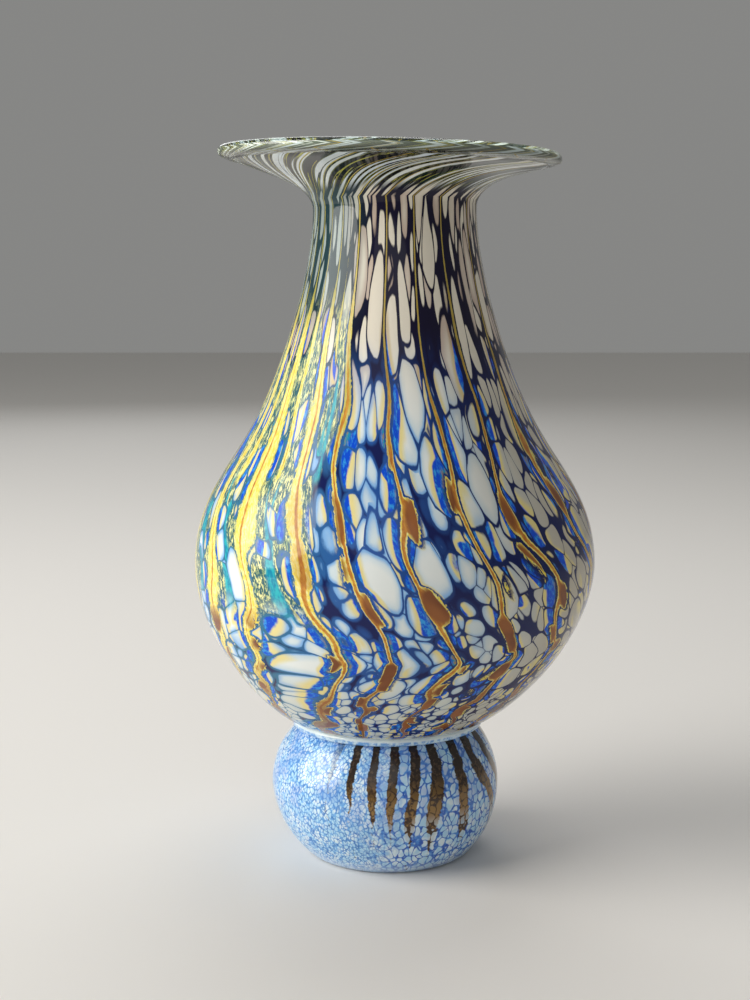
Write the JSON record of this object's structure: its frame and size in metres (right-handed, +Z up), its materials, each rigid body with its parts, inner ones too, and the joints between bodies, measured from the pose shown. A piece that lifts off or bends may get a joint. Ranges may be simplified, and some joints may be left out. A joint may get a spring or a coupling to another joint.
{
  "type": "vase",
  "caption": "Footed glass vase: bellied body with murrine cells and amber ribbons, narrow neck, wide turned-out lip with a rounded bead, clear collar and a solid bun foot.",
  "frame": {"origin": "centre of the foot's ground ring, on the table", "axes": "+Z up along the vase's axis; -Y towards the front"},
  "size_m": [0.171, 0.171, 0.3],
  "materials": {
    "rim_bead": "polished",
    "clear_wall": "polished",
    "cell_panels": "polished",
    "amber_ribbons": "polished",
    "joint_collar": "polished",
    "foot_core": "polished",
    "foot_frit_base": "polished",
    "foot_frit_panels": "polished",
    "foot_trails": "polished",
    "pontil_disc": "polished"
  },
  "bodies": {
    "root": {"rim_bead": "rim_bead", "clear_wall": "clear_wall", "cell_panels": "cell_panels", "amber_ribbons": "amber_ribbons", "joint_collar": "joint_collar", "foot_core": "foot_core", "foot_frit_base": "foot_frit_base", "foot_frit_panels": "foot_frit_panels", "foot_trails": "foot_trails", "pontil_disc": "pontil_disc"}
  },
  "joints": []
}
